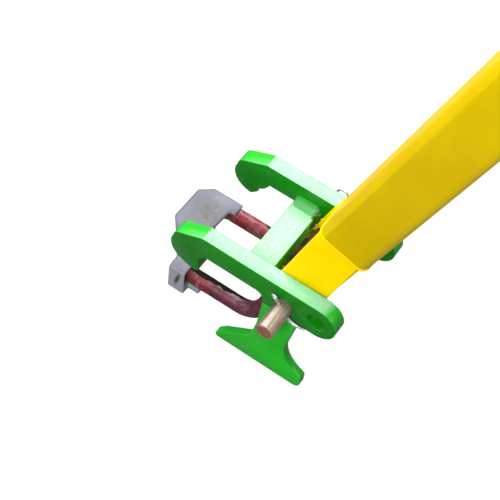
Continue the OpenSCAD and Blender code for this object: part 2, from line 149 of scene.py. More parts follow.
def enamel(name, look):
    made, tree = newMaterial(name)
    coords = add(tree, "TexCoord").outputs["Object"]
    normal = add(tree, "NewGeometry").outputs["Normal"]
    chips = look["chips"]
    drawn = patternsOf(tree, coords, dict(enamelPatterns, flakes=(5, 4, 0.65, chips, chips + 0.02)))
    height = add(tree, "SeparateXYZ", links={"Vector": coords}).outputs["Z"]
    facing = add(tree, "SeparateXYZ", links={"Vector": normal}).outputs
    low = -2 if look["open"] else -200   # open: only what lies above the bores gets the painted light and the painted reflection
    above = add(tree, "MapRange", {"From Min": low * mm, "From Max": (low + 5) * mm}, {"Value": height})
    # faces that turn upward are tinted lighter or darker: painted light
    upwardLightMask = add(tree, "MapRange", {"From Min": 0.2, "From Max": 0.92, "To Max": look["upwardLight"]},
                {"Value": facing["Z"]})
    upwardLightMask = add(tree, "Math", {"operation": "MULTIPLY"}, {0: upwardLightMask, 1: above})
    # the flat tops get a pale painted reflection with a fine speckle
    topReflectionMask = add(tree, "MapRange", {"From Min": 0.89, "From Max": 1.0}, {"Value": facing["Z"]})
    topReflectionMask = add(tree, "Math", {"operation": "MULTIPLY"}, {0: topReflectionMask, 1: above})
    speckle = add(tree, "MapRange", {"From Min": 0.35, "From Max": 0.65, "To Min": 0.6 * look["topReflection"],
                                     "To Max": look["topReflection"]}, {"Value": drawn["speckle"]})
    topReflectionMask = add(tree, "Math", {"operation": "MULTIPLY"}, {0: topReflectionMask, 1: speckle})
    layers = [(drawn["broad"], 1, look["light"]), (drawn["dust"], look["dust"], look["dustColour"]),
              (upwardLightMask, 1, look["upwardLightColour"]), (topReflectionMask, 1, look["topReflectionColour"])]
    if "rearShade" in look:   # faces that look to the rear are darker: painted shade
        rear = add(tree, "MapRange", {"From Min": 0.5, "From Max": 0.95, "To Max": 0.8}, {"Value": facing["X"]})
        layers.append((rear, 1, look["rearShade"]))
    for centre, size, stain in look["stainsAndGlints"]:   # rust and bare steel that have come through at corners, and pale grey painted glints at the bar's far rear corner
        away = add(tree, "VectorMath", {"operation": "DISTANCE", 1: Vector(centre) * mm}, {0: coords})
        near = add(tree, "MapRange", {"From Min": size * mm, "From Max": 0.0}, {"Value": away})
        near = add(tree, "Math", {"operation": "ADD"}, {0: near, 1: drawn["ragged"]})
        near = add(tree, "Math", {"operation": "MULTIPLY", 1: 0.6}, {0: near})
        near = add(tree, "ValToRGB", {"stops": {0.5: "#000000", 0.56: "#FFFFFF"}}, {"Fac": near})
        layers.append((near, 1, stain))
    if look.get("struckAndShaded"):
        layers += strikeAndShadeLayers(tree, coords)
    edges = edgeMask(tree, normal, 1.2, 0.80, 0.985)
    chipped = add(tree, "Math", {"operation": "MULTIPLY"}, {0: edges, 1: drawn["flakes"]})
    # paler along the edges: partly rubbed wear, partly a painted highlight on the rounded edges
    layers += [(edges, look["rubHighlight"], look["rubbedHighlight"]), (chipped, 1, look["primer"])]
    rough = add(tree, "MapRange", {"To Min": look["gloss"], "To Max": look["gloss"] + 0.12},
                {"Value": drawn["haze"]})
    lift = add(tree, "Math", {"operation": "MULTIPLY_ADD", 1: 2.5}, {0: drawn["waves"], 2: drawn["peel"]})
    bump = add(tree, "Bump", {"Strength": 0.35, "Distance": 0.05 * mm}, {"Height": lift})
    shader = add(tree, "BsdfPrincipled", {"IOR": 1.5, "Specular IOR Level": look["shine"]},
                 {"Base Color": layered(tree, look["deep"], layers), "Roughness": rough, "Normal": bump})
    add(tree, "OutputMaterial", links={"Surface": shader})
    return made


# each stain and each painted glint is its place in millimetres, its width and its colour
greenLook = {
    "deep": "#08760A", "light": "#0E850F", "dust": 0.2, "dustColour": "#2A9C2F", "rubHighlight": 0.35, "rubbedHighlight": "#7FD884",
    "chips": 0.66, "primer": "#6E7A63", "gloss": 0.2, "shine": 0.2, "topReflection": 0.6, "topReflectionColour": "#BCDED2",
    "upwardLight": 0.6, "upwardLightColour": "#35CF33", "open": True,
    "stainsAndGlints": [((58, 33, -4), 10, "#3F6A1C"), ((58, 33, 3), 5, "#5E6020"), ((58, 38, 5), 3.5, "#4A5A20"),
               # the pale grey spot at the bar's far rear corner is a painted glint
               ((57.3, -38, 4), 3.5, "#6E7048"), ((56.5, 38, 7.5), 2.6, "#9A9C98")]}
# the bar's copy of the green is rougher and far lighter: painted light on the rear face that lies in the lever's shadow
barLitLook = dict(greenLook, deep="#58C428", light="#62CE30", gloss=0.5, shine=0.15, topReflection=0.72, topReflectionColour="#C6E0DC")
weldLook = {
    "deep": "#0B8410", "light": "#149318", "dust": 0.3, "dustColour": "#4FB455", "rubHighlight": 0.3, "rubbedHighlight": "#A9E3AD",
    "chips": 0.7, "primer": "#6E7A63", "gloss": 0.3, "shine": 0.3, "topReflection": 0.5, "topReflectionColour": "#B4E4BE",
    # its pale grey spot at the far rear corner is a painted glint
    "upwardLight": 0.6, "upwardLightColour": "#6CBE80", "open": False, "stainsAndGlints": [((57, 38, 7), 3, "#8C968C")]}
footLook = {
    "deep": "#17B41A", "light": "#22BF25", "dust": 0.2, "dustColour": "#48C44D", "rubHighlight": 0.5, "rubbedHighlight": "#7FD884",
    "chips": 0.64, "primer": "#6E7A63", "gloss": 0.24, "shine": 0.25, "topReflection": 0.1, "topReflectionColour": "#8FD496",
    "upwardLight": 0.6, "upwardLightColour": "#128C18", "open": False, "rearShade": "#0F7A18", "stainsAndGlints": []}
yellowLook = {
    "deep": "#FAD200", "light": "#FFDE02", "dust": 0.2, "dustColour": "#FBD820", "rubHighlight": 0.3, "rubbedHighlight": "#FFF030",
    "chips": 0.68, "primer": "#8C8462", "gloss": 0.34, "shine": 0.04, "topReflection": 0.0, "topReflectionColour": "#FFF07A",
    "upwardLight": 0.0, "upwardLightColour": "#FFE22A", "open": False, "stainsAndGlints": []}
greenEnamel = enamel("greenEnamel", greenLook)
barLitEnamel = enamel("greenEnamelDulledLit", barLitLook)
weldEnamel = enamel("weldEnamel", weldLook)
footEnamel = enamel("footEnamel", footLook)
yellowEnamel = enamel("yellowEnamel", yellowLook)
struckShadedYellow = enamel("yellowEnamelStruckShaded", dict(yellowLook, struckAndShaded=True))

# Sprung steel rod in dull red oxide paint: mottled maroon with rubbed pink patches that are partly a painted highlight,
# and black scale that peels away along the top of each leg, most of it in front, beside the moulded cap.
rodLook = {"deep": "#460A10", "light": "#66141C", "rubbedHighlight": "#B0748A", "pits": "#4A1A18", "fresh": "#982430",
           "lilacHighlight": "#A4727E", "burnt": "#1A0A0A", "burntPlace": (15, 44.5, -59.5), "dusk": "#53223A",
           "scale": "#0A0606"}
rodPatterns = {"mottle": (16, 5, 0.6, 0.36, 0.66), "rubbedHighlight": (7, 6, 0.7, 0.52, 0.68),
               "pits": (3, 4, 0.7, 0.60, 0.68), "lilacHighlight": (10, 5, 0.6, 0.45, 0.62), "flakes": (3, 4, 0.5),
               "ragged": (11, 6, 0.7), "grit": (1.6, 4, 0.7)}


def redOxideRod():
    made, tree = newMaterial("redOxideOnSpringSteel")
    coords = add(tree, "TexCoord").outputs["Object"]
    normal = add(tree, "NewGeometry").outputs["Normal"]
    drawn = patternsOf(tree, coords, rodPatterns)
    spot = add(tree, "SeparateXYZ", links={"Vector": coords}).outputs
    # the right leg has kept its paint, with lilac painted highlights on it, apart from a burnt patch beside the cross
    # bar
    fresh = add(tree, "MapRange", {"From Min": 0.0, "From Max": 30 * mm, "To Max": 0.7}, {"Value": spot["Y"]})
    freshTint = add(tree, "Mix", {"data_type": "RGBA"}, {0: drawn["lilacHighlight"], 6: rodLook["fresh"], 7: rodLook["lilacHighlight"]})
    away = add(tree, "VectorMath", {"operation": "DISTANCE", 1: Vector(rodLook["burntPlace"]) * mm}, {0: coords})
    away = add(tree, "Math", {"operation": "MULTIPLY_ADD", 1: -9 * mm}, {0: drawn["flakes"], 2: away})
    burnt = add(tree, "MapRange", {"From Min": 2 * mm, "From Max": 0.6 * mm}, {"Value": away})
    # the left leg turns purple toward its rear bend
    dusk = add(tree, "MapRange", {"From Min": 0.0, "From Max": 45 * mm, "To Max": 0.6}, {"Value": spot["X"]})
    left = add(tree, "MapRange", {"From Min": 10 * mm, "From Max": -20 * mm}, {"Value": spot["Y"]})
    dusk = add(tree, "Math", {"operation": "MULTIPLY"}, {0: dusk, 1: left})
    reach = add(tree, "VectorMath", {"operation": "DOT_PRODUCT", 1: (0.0, 0.80, 0.60)}, {0: normal})
    sound = add(tree, "MapRange", {"From Min": -30 * mm, "From Max": 30 * mm, "To Min": 0.0, "To Max": -0.5},
                {"Value": spot["Y"]})
    front = add(tree, "MapRange", {"From Min": -25 * mm, "From Max": 45 * mm, "To Min": 0.3, "To Max": -0.04},
                {"Value": spot["X"]})
    for share in (sound, front):
        reach = add(tree, "Math", {"operation": "ADD"}, {0: reach, 1: share})
    reach = add(tree, "Math", {"operation": "MULTIPLY_ADD", 1: 0.9}, {0: drawn["ragged"], 2: reach})
    scale = add(tree, "MapRange", {"From Min": 1.18, "From Max": 1.22}, {"Value": reach})
    colour = layered(tree, rodLook["deep"], [
        (drawn["mottle"], 1, rodLook["light"]), (drawn["rubbedHighlight"], 0.65, rodLook["rubbedHighlight"]),
        (drawn["pits"], 0.75, rodLook["pits"]), (fresh, 1, freshTint), (burnt, 1, rodLook["burnt"]),
        (dusk, 1, rodLook["dusk"]), (scale, 1, rodLook["scale"])])
    rough = add(tree, "MapRange", {"To Min": 0.42, "To Max": 0.75}, {"Value": scale})
    shine = add(tree, "MapRange", {"To Min": 0.5, "To Max": 0.12}, {"Value": scale})
    lift = add(tree, "Math", {"operation": "MULTIPLY_ADD", 1: -1.6}, {0: drawn["pits"], 2: drawn["grit"]})
    lift = add(tree, "Math", {"operation": "MULTIPLY_ADD", 1: 1.2}, {0: scale, 2: lift})
    bump = add(tree, "Bump", {"Strength": 0.5, "Distance": 0.2 * mm}, {"Height": lift})
    shader = add(tree, "BsdfPrincipled", {"IOR": 1.5},
                 {"Base Color": colour, "Roughness": rough, "Specular IOR Level": shine, "Normal": bump})
    add(tree, "OutputMaterial", links={"Surface": shader})
    return made


rodFinish = redOxideRod()

# Glass filled nylon, injection moulded: satin lilac grey with a fine grain, scuffed paler on its edges and
# smudged with grease. The moulded grain is finer, and is drawn at 1.5 mm so that it shows.
nylonLook = {"deep": "#565866", "light": "#6A6C79", "smudge": "#787C7C", "edge": "#6D7078", "flankLight": "#A3A7B4",
             "ovalRim": "#7F8060", "ovalHollowShade": "#1E2018", "ovalPlace": (-23, -48, -68.5), "ovalSize": (2.4, 12),
             "grease": "#4E4A34", "greasePlace": (-37, 18, -54.6), "fleck": "#5E6060"}
nylonPatterns = {"broad": (20, 4, 0.5, 0.35, 0.68), "smudge": (8, 6, 0.65, 0.55, 0.72), "rim": (3, 4, 0.5),
                 "patches": (5, 5, 0.7, 0.42, 0.56), "fleck": (2, 3, 0.5, 0.66, 0.72), "grain": (1.5, 3, 0.5)}


def mouldedNylon():
    made, tree = newMaterial("mouldedGreyNylon")
    coords = add(tree, "TexCoord").outputs["Object"]
    normal = add(tree, "NewGeometry").outputs["Normal"]
    drawn = patternsOf(tree, coords, nylonPatterns)
    edges = edgeMask(tree, normal, 1.6, 0.72, 0.97)
    flankLight = add(tree, "VectorMath", {"operation": "DOT_PRODUCT", 1: (0.5, -0.87, 0.0)}, {0: normal})
    flankLight = add(tree, "MapRange", {"From Min": 0.2, "From Max": 0.7, "To Max": 0.8}, {"Value": flankLight})
    layers = [(drawn["broad"], 1, nylonLook["light"]), (drawn["smudge"], 0.45, nylonLook["smudge"]),
              (edges, 0.35, nylonLook["edge"]),
              (flankLight, 1, nylonLook["flankLight"])]   # the flank is lighter: painted light on the faces that turn toward the front
    wide, tall = nylonLook["ovalSize"]
    oval = add(tree, "Mapping", {"vector_type": "TEXTURE", "Location": Vector(nylonLook["ovalPlace"]) * mm,
                                 "Rotation": (0, math.radians(12), 0), "Scale": (wide * mm, 1.0, tall * mm)},
               {"Vector": coords})
    oval = add(tree, "VectorMath", {"operation": "LENGTH"}, {0: oval})
    oval = add(tree, "Math", {"operation": "MULTIPLY_ADD", 1: 0.5}, {0: drawn["rim"], 2: oval})
    for first, full, tint in ((1.4, 1.15, "ovalRim"), (1.0, 0.8, "ovalHollowShade")):   # sink mark in the flank: an olive rim, and painted shade in its hollow
        mark = add(tree, "MapRange", {"From Min": first, "From Max": full}, {"Value": oval})
        mark = add(tree, "Math", {"operation": "MULTIPLY"}, {0: mark, 1: flankLight})
        layers.append((mark, 1, nylonLook[tint]))
    away = add(tree, "VectorMath", {"operation": "DISTANCE", 1: Vector(nylonLook["greasePlace"]) * mm}, {0: coords})
    grease = add(tree, "MapRange", {"From Min": 19 * mm, "From Max": 6 * mm}, {"Value": away})
    grease = add(tree, "Math", {"operation": "MULTIPLY"}, {0: grease, 1: drawn["patches"]})
    layers += [(grease, 0.9, nylonLook["grease"]),   # smeared over the middle of the pad
               (drawn["fleck"], 0.5, nylonLook["fleck"])]
    rough = add(tree, "MapRange", {"To Min": 0.42, "To Max": 0.6}, {"Value": drawn["smudge"]})
    bump = add(tree, "Bump", {"Strength": 0.5, "Distance": 0.08 * mm}, {"Height": drawn["grain"]})
    shader = add(tree, "BsdfPrincipled", {"IOR": 1.53, "Specular IOR Level": 0.3},
                 {"Base Color": layered(tree, nylonLook["deep"], layers), "Roughness": rough, "Normal": bump})
    add(tree, "OutputMaterial", links={"Surface": shader})
    return made


nylonGrey = mouldedNylon()

# Turned steel pin, zinc plated and passivated: warm cream metal with fine turning rings and drawn streaks,
# and brown rust on the cut end faces.
pinLook = {"deep": "#AA9E94", "light": "#CCC2B8", "streak": "#97836F", "stain": "#8E6C5A", "rust": "#7E4638",
           "rustLight": "#A66F5F", "rustMetal": "#404040"}
pinPatterns = {"broad": (12, 4, 0.5, 0.35, 0.7), "stain": (6, 6, 0.7, 0.55, 0.75), "rust": (4, 5, 0.6, 0.4, 0.65)}


def passivatedPin():
    made, tree = newMaterial("passivatedZincPin")
    coords = add(tree, "TexCoord").outputs["Object"]
    normal = add(tree, "NewGeometry").outputs["Normal"]
    drawn = patternsOf(tree, coords, pinPatterns)
    lengthwise = add(tree, "Mapping", {"Scale": (1.0, 0.04, 1.0)}, {"Vector": coords})
    streaks = patternsOf(tree, lengthwise, {"drawn": (2.4, 3, 0.6)})["drawn"]
    plain = add(tree, "ValToRGB", {"stops": {0.42: "#000000", 0.6: "#FFFFFF"}}, {"Fac": streaks})
    colour = layered(tree, pinLook["deep"], [(drawn["broad"], 1, pinLook["light"])])
    colour = layered(tree, pinLook["streak"], [(plain, 1, colour)])
    facing = add(tree, "SeparateXYZ", links={"Vector": normal}).outputs["Y"]
    facing = add(tree, "Math", {"operation": "ABSOLUTE"}, {0: facing})
    ends = add(tree, "ValToRGB", {"stops": {0.55: "#000000", 0.85: "#FFFFFF"}}, {"Fac": facing})
    metal = add(tree, "ValToRGB", {"stops": {0.55: "#FFFFFF", 0.85: pinLook["rustMetal"]}}, {"Fac": facing})
    rust = layered(tree, pinLook["rust"], [(drawn["rust"], 1, pinLook["rustLight"])])
    colour = layered(tree, colour, [(drawn["stain"], 0.7, pinLook["stain"]), (ends, 1, rust)])
    along = add(tree, "SeparateXYZ", links={"Vector": coords}).outputs["Y"]
    along = add(tree, "Math", {"operation": "ABSOLUTE"}, {0: along})
    rings = add(tree, "TexNoise", {"noise_dimensions": "1D", "Scale": 1400.0, "Detail": 2.0}, {"W": along})
    rough = add(tree, "MapRange", {"To Min": 0.58, "To Max": 0.74}, {"Value": drawn["stain"]})
    bump = add(tree, "Bump", {"Strength": 0.4, "Distance": 0.15 * mm}, {"Height": streaks})
    bump = add(tree, "Bump", {"Strength": 0.25, "Distance": 0.04 * mm}, {"Height": rings, "Normal": bump})
    shader = add(tree, "BsdfPrincipled", {},
                 {"Base Color": colour, "Roughness": rough, "Metallic": metal, "Normal": bump})
    add(tree, "OutputMaterial", links={"Surface": shader})
    return made


pinZinc = passivatedPin()

# Bare steel kept bright or worn: brushed grey metal with fine scratches, streaked and a little tarnished.
steelPatterns = {"broad": (6, 5, 0.5, 0.35, 0.7), "tarnish": (3, 5, 0.7, 0.55, 0.75), "scratches": (0.9, 3, 0.5)}


def bareSteel(name, look):
    made, tree = newMaterial(name)
    coords = add(tree, "TexCoord").outputs["Object"]
    drawn = patternsOf(tree, coords, steelPatterns)
    colour = layered(tree, look["deep"], [(drawn["broad"], 1, look["light"]),
                                          (drawn["tarnish"], look["tarnish"], look["stain"])])
    rough = add(tree, "MapRange", {"To Min": look["gloss"], "To Max": look["gloss"] + 0.25},
                {"Value": drawn["tarnish"]})
    bump = add(tree, "Bump", {"Strength": 0.3, "Distance": 0.05 * mm}, {"Height": drawn["scratches"]})
    shader = add(tree, "BsdfPrincipled", {"Metallic": 1.0},
                 {"Base Color": colour, "Roughness": rough, "Normal": bump})
    add(tree, "OutputMaterial", links={"Surface": shader})
    return made


wireLook = {"deep": "#C4C6CA", "light": "#E6E7EA", "stain": "#8E8A86", "tarnish": 0.3, "gloss": 0.5}
noseLook = {"deep": "#6B6A69", "light": "#96948F", "stain": "#5A3F33", "tarnish": 0.6, "gloss": 0.35}
brightWire = bareSteel("brightZincWire", wireLook)
wornSteel = bareSteel("wornSteel", noseLook)

# Low density polythene stopper, moulded: dull black, lightly scuffed.
stopperLook = {"deep": "#17181A", "scuff": "#3B3C3F", "edge": "#5C5D60"}
stopperPatterns = {"scuffs": (4, 5, 0.6, 0.55, 0.8), "grain": (1.2, 3, 0.5)}


def softBlackPlastic():
    made, tree = newMaterial("blackPolythene")
    coords = add(tree, "TexCoord").outputs["Object"]
    normal = add(tree, "NewGeometry").outputs["Normal"]
    drawn = patternsOf(tree, coords, stopperPatterns)
    edges = edgeMask(tree, normal, 1.0, 0.75, 0.98)
    colour = layered(tree, stopperLook["deep"], [(drawn["scuffs"], 1, stopperLook["scuff"]),
                                                 (edges, 0.3, stopperLook["edge"])])
    rough = add(tree, "MapRange", {"To Min": 0.45, "To Max": 0.7}, {"Value": drawn["scuffs"]})
    bump = add(tree, "Bump", {"Strength": 0.4, "Distance": 0.06 * mm}, {"Height": drawn["grain"]})
    shader = add(tree, "BsdfPrincipled", {"IOR": 1.51}, {"Base Color": colour, "Roughness": rough, "Normal": bump})
    add(tree, "OutputMaterial", links={"Surface": shader})
    return made


blackStopper = softBlackPlastic()
print("materials ready")


def place(bm, name, body, material, stands):
    mesh = bpy.data.meshes.new(name)
    bm.to_mesh(mesh)
    bm.free()
    piece = bpy.data.objects.new(name, mesh)
    scene.collection.objects.link(piece)
    mesh.materials.append(material)
    mesh.shade_smooth()
    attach(piece, body)
    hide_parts(*stands)
    return piece


def copyOf(node):
    # merged copy of a CAD node, with its flat faces whole again
    bm = bmesh.new()
    bm.from_mesh(nodes[node].data)
    bmesh.ops.remove_doubles(bm, verts=bm.verts, dist=0.002 * mm)
    bmesh.ops.dissolve_limit(bm, angle_limit=math.radians(0.6), verts=bm.verts, edges=bm.edges)
    return bm


def cadPiece(node, body, material, width, segments=3):
    # the CAD form with its sharp edges rounded
    piece = place(copyOf(node), node.replace("_", "-") + "-finished", body, material, [node])
    edges = piece.modifiers.new("edges", "BEVEL")
    edges.width = width * mm
    edges.segments = segments
    edges.limit_method = "ANGLE"
    edges.angle_limit = math.radians(18)
    edges.harden_normals = True


def framesAlong(points, closed=False):
    # a frame at each point of a path: Z along it, X carried on without a twist
    frames = []
    count = len(points)
    side = None
    for i, here in enumerate(points):
        if closed:
            ahead = points[(i + 1) % count] - points[i - 1]
        else:
            ahead = points[min(i + 1, count - 1)] - points[max(i - 1, 0)]
        ahead.normalize()
        if side is None:
            side = (Vector((0, 0, 1)) if abs(ahead.z) < 0.9 else Vector((1, 0, 0))).cross(ahead)
        side = (side - ahead * side.dot(ahead)).normalized()
        turn = Matrix((side, ahead.cross(side), ahead)).transposed().to_4x4()
        frames.append(Matrix.Translation(here) @ turn)
    return frames


def sweep(points, radius, sides, sizes=None, closed=False):
    # a round section carried along the points, scaled by its size at each
    bm = bmesh.new()
    ring = bmesh.ops.create_circle(bm, radius=radius, segments=sides)["verts"]
    frames = framesAlong(points, closed)
    steps = [f @ Matrix.Scale(s, 4) for f, s in zip(frames, sizes or [1.0] * len(frames))]
    bmesh.ops.transform(bm, matrix=steps[0], verts=ring)
    first = list(bm.edges)
    edges = first
    for before, after in zip(steps, steps[1:]):
        grown = bmesh.ops.extrude_edge_only(bm, edges=edges)["geom"]
        verts = [g for g in grown if isinstance(g, bmesh.types.BMVert)]
        edges = [g for g in grown if isinstance(g, bmesh.types.BMEdge)]
        bmesh.ops.transform(bm, matrix=after @ before.inverted(), verts=verts)
    if closed:
        bmesh.ops.bridge_loops(bm, edges=first + edges)
    else:
        bmesh.ops.holes_fill(bm, edges=bm.edges, sides=0)
    bmesh.ops.recalc_face_normals(bm, faces=bm.faces)
    return bm


def roundCorner(before, here, after, radius, steps=8):
    # points of the round corner at here
    if radius == 0:
        return [here]
    u, w = (before - here).normalized(), (after - here).normalized()
    half = u.angle(w) / 2
    middle = here + (u + w).normalized() * radius / math.sin(half)
    start = here + u * radius / math.tan(half) - middle
    end = here + w * radius / math.tan(half) - middle
    return [middle + start.slerp(end, i / steps).normalized() * radius for i in range(steps + 1)]


def roundedPath(corners, radii, gap):
    # a line through round corners, with a point at least every gap
    turns = [corners[0]]
    for i in range(1, len(corners) - 1):
        turns += roundCorner(corners[i - 1], corners[i], corners[i + 1], radii[i])
    turns.append(corners[-1])
    points = [turns[0]]
    for a, b in zip(turns, turns[1:]):
        count = max(1, round((b - a).length / gap))
        points += [a.lerp(b, k / count) for k in range(1, count + 1) if (b - a).length > 1e-6]
    return points


def line(a, b, gap):
    # points from a to b, all in millimetres, about a gap apart
    a, b = Vector(a) * mm, Vector(b) * mm
    count = max(2, round((b - a).length / (gap * mm)))
    return [a.lerp(b, i / count) for i in range(count + 1)]


def rippled(count, depth, phase, ends=3):
    # sizes along a weld bead: overlapping ripples, and rounded ends
    sizes = []
    for i in range(count):
        ripple = 1 + depth * (abs(math.sin(i * 0.9 + phase)) - 0.5) + 0.04 * math.sin(i * 0.37 + phase * 3)
        near = min(i, count - 1 - i)
        sizes.append(ripple * (math.sqrt(1 - (1 - (near + 0.35) / ends) ** 2) if near < ends else 1))
    return sizes


def evenRipples(count, depth):
    return [1 + depth * (abs(math.sin(i * 0.9)) - 0.5) for i in range(count)]


def bead(name, points, radius, body, material, stands, depth=0.035, closed=False):
    count = len(points)
    sizes = evenRipples(count, depth) if closed else rippled(count, depth, radius * 900)
    return place(sweep(points, radius * mm, 20, sizes, closed), name, body, material, stands)


print("tools ready")

head = {"plateEdge": 0.9, "footEdge": 0.9, "barEdge": 0.8, "pinEdge": 0.35}
cadPiece("side_plate_left", "head", greenEnamel, head["plateEdge"])
cadPiece("side_plate_right", "head", greenEnamel, head["plateEdge"])
cadPiece("foot_plate", "head", footEnamel, head["footEdge"])
cadPiece("cross_bar", "head", barLitEnamel, head["barEdge"])

# the fillets' narrow ends, how much they are dished, and the plate's and the bar's faces behind them
barFillet = {"radius": 20, "front": 33.6, "rear": 57.1, "y": 49.3, "z": -5.3, "gap": 0.9, "depth": 0.006,
             "ends": (0.88, 0.93, 0.965, 0.985), "dish": 1.7, "chordFrom": 45.8, "chordHalf": 18.9,
             "plateFace": 41, "barFace": 3}


def filletBead(side, name, stands):
    # one large bead, its hidden back pressed into the corner between bar and plate
    y, z = side * barFillet["y"], barFillet["z"]
    points = line((barFillet["front"], y, z), (barFillet["rear"], y, z), barFillet["gap"])
    sizes = evenRipples(len(points), barFillet["depth"])
    for i, size in enumerate(barFillet["ends"]):
        sizes[i] = sizes[-1 - i] = size
    bm = sweep(points, barFillet["radius"] * mm, 48, sizes)
    centre = points[0]
    middle, half = math.radians(barFillet["chordFrom"]), math.radians(barFillet["chordHalf"])
    for v in bm.verts:
        across, up = side * (centre.y - v.co.y), v.co.z - centre.z
        reach = math.hypot(across, up)
        if across > 0 and up > 0:   # dished face: the bulge over the chord turned inwards
            chord = reach * math.cos(half) / math.cos(math.atan2(up, across) - middle)
            shrink = (chord - barFillet["dish"] * max(0, reach - chord)) / reach
            v.co.y, v.co.z = centre.y - side * across * shrink, centre.z + up * shrink
        v.co.y = side * min(side * v.co.y, barFillet["plateFace"] * mm)
        v.co.z = max(v.co.z, barFillet["barFace"] * mm)
    bmesh.ops.remove_doubles(bm, verts=bm.verts, dist=0.01 * mm)
    return place(bm, name, "head", weldEnamel, stands)


welds = {"gap": 0.9, "barRear": 3.4, "barRearPlace": (56.8, 40.6), "barRearEnds": (4, -11), "footInner": 6,
         "footInnerEnds": ((65.5, -47.5, -10.5), (97, -47.5, -10.5)), "footCorner": 6.5,
         "footCornerEnds": ((97.4, -53, -10.6), (97.4, -46.5, -10.6))}
for side, tag in ((-1, "left"), (1, "right")):
    filletBead(side, "bar-fillet-" + tag, ["cross_bar_welds"] if side < 0 else [])
    x, y = welds["barRearPlace"]
    top, foot = welds["barRearEnds"]
    bead("bar-rear-weld-" + tag, line((x, side * y, top), (x, side * y, foot), welds["gap"]), welds["barRear"],
         "head", greenEnamel, [])
bead("foot-inner-weld", line(*welds["footInnerEnds"], welds["gap"]), welds["footInner"], "head",
     footEnamel, ["foot_welds"])
bead("foot-corner-weld", line(*welds["footCornerEnds"], welds["gap"]), welds["footCorner"], "head",
     footEnamel, [])
print("head ready")

cadPiece("pivot_pin", "head", pinZinc, head["pinEdge"], 2)

# reach: from the pin's axis to the eye's centre; legs: the length, first angle and curl of both wire ends
splitWire = {"width": 2.0, "neck": 9.5, "legSteps": 11, "shankSteps": 24, "eyeSteps": 30, "eyeGap": 48}
splitPins = {
    "left": {"y": -58, "reach": 14, "eye": 6.6, "turn": 105, "tilt": 43, "lift": 3, "legs": ((16, 8, 62), (11, 2, 55))},
    "right": {"y": 58, "reach": 23.5, "eye": 13, "turn": 90, "tilt": 45, "lift": 0,
              "legs": ((15, 30, 14), (9, -6, -4))}}


def splitPin(side, stands):
    # one wire: back along a leg, up the shank, round the eye and down again
    size = splitPins[side]
    width, pinNeck, legSteps = splitWire["width"], splitWire["neck"], splitWire["legSteps"]
    loop = (size["eye"] - width) / 2
    half = width / 2 * 0.92
    upper, lower = [], []
    for leg, (length, start, curl), z in ((upper, size["legs"][0], half), (lower, size["legs"][1], -half)):
        x = pinNeck
        for i in range(legSteps + 1):
            leg.append((x, z))
            angle = math.radians(start + curl * i / legSteps)
            x, z = x + length / legSteps * math.cos(angle), z + length / legSteps * math.sin(angle)
    neck = size["reach"] - loop - 1.5
    shankSteps, eyeSteps, eyeGap = splitWire["shankSteps"], splitWire["eyeSteps"], splitWire["eyeGap"]
    straight = [pinNeck - (pinNeck + neck) * i / shankSteps for i in range(1, shankSteps + 1)]
    points = upper[::-1] + [(x, half) for x in straight]
    for i in range(1, eyeSteps):
        angle = math.radians(eyeGap / 2 + (360 - eyeGap) * i / eyeSteps)
        points.append((-size["reach"] + loop * math.cos(angle), loop * math.sin(angle)))
    points += [(x, -half) for x in straight[::-1]] + lower
    bent = []
    for x, z in points:
        share = min(1, max(0, (-x - 2) / (neck - 2)))   # the eye is turned and lifted past the shank
        angle = math.radians((size["turn"] - 90) * share)
        bent.append(Vector((x, -z * math.sin(angle), z * math.cos(angle) + size["lift"] * share)))
    seat = Matrix.Translation(pivot + Vector((0, size["y"], 0)) * mm) @ \
        Matrix.Rotation(math.radians(size["tilt"]), 4, "Y") @ Matrix.Scale(mm, 4)
    bm = sweep([seat @ p for p in bent], width / 2 * mm, 14)
    return place(bm, "split-pin-" + side, "head", brightWire, stands)


splitPin("left", ["split_pins"])
splitPin("right", [])
print("pivot ready")

lever = {"cheekEdge": 1.1, "armEdge": 1.0, "plugEdge": 1.5, "tubeEdge": 0.6, "coreEdge": 0.8, "sleeveEdge": 0.5}
for node in ("hub_cheek_left", "hub_cheek_right"):
    cadPiece(node, "lever", yellowEnamel, lever["cheekEdge"])
cadPiece("pusher_arm", "lever", yellowEnamel, lever["armEdge"])
cadPiece("pusher_nose", "lever", wornSteel, lever["armEdge"])
cadPiece("tube_plug", "lever", blackStopper, lever["plugEdge"])
cadPiece("lever_tube", "lever", yellowEnamel, lever["tubeEdge"], 2)
# the core's front carries the rust and the gap's black painted shade
cadPiece("lever_core", "lever", struckShadedYellow, lever["coreEdge"])

# lip rolled forward where the core strikes the cross bar, in the lever's frame, with the same rust and black painted
# shade
burr = {"radius": 1.9, "x": -19.9, "halfLength": 19.2, "z": 0.8, "gap": 1.1, "depth": 0.25}
burrLine = line((burr["x"], burr["halfLength"], burr["z"]), (burr["x"], -burr["halfLength"], burr["z"]), burr["gap"])
bead("core-front-burr", [leverFrame @ p for p in burrLine], burr["radius"], "lever", struckShadedYellow,
     [], burr["depth"])
cadPiece("pivot_sleeve", "lever", yellowEnamel, lever["sleeveEdge"], 2)

# bead round the foot of the tube, in the lever's frame
tubeBead = {"radius": 1.3, "x": 2.8, "z": 66.5, "half": 23.6, "corner": 8, "depth": 0.05}
half = tubeBead["half"]
square = [Vector((tubeBead["x"] + x * half, y * half, tubeBead["z"])) * mm
          for x, y in ((-1, -1), (1, -1), (1, 1), (-1, 1))]
loop = []
for i in range(4):
    a, b, c = square[i - 1], square[i], square[(i + 1) % 4]
    loop += [a.lerp(b, 0.2 + 0.6 * k / 30) for k in range(31)] + roundCorner(a, b, c, tubeBead["corner"] * mm)[1:-1]
bead("tube-foot-bead", [leverFrame @ p for p in loop], tubeBead["radius"], "lever", yellowEnamel,
     ["tube_end_weld"], tubeBead["depth"], True)

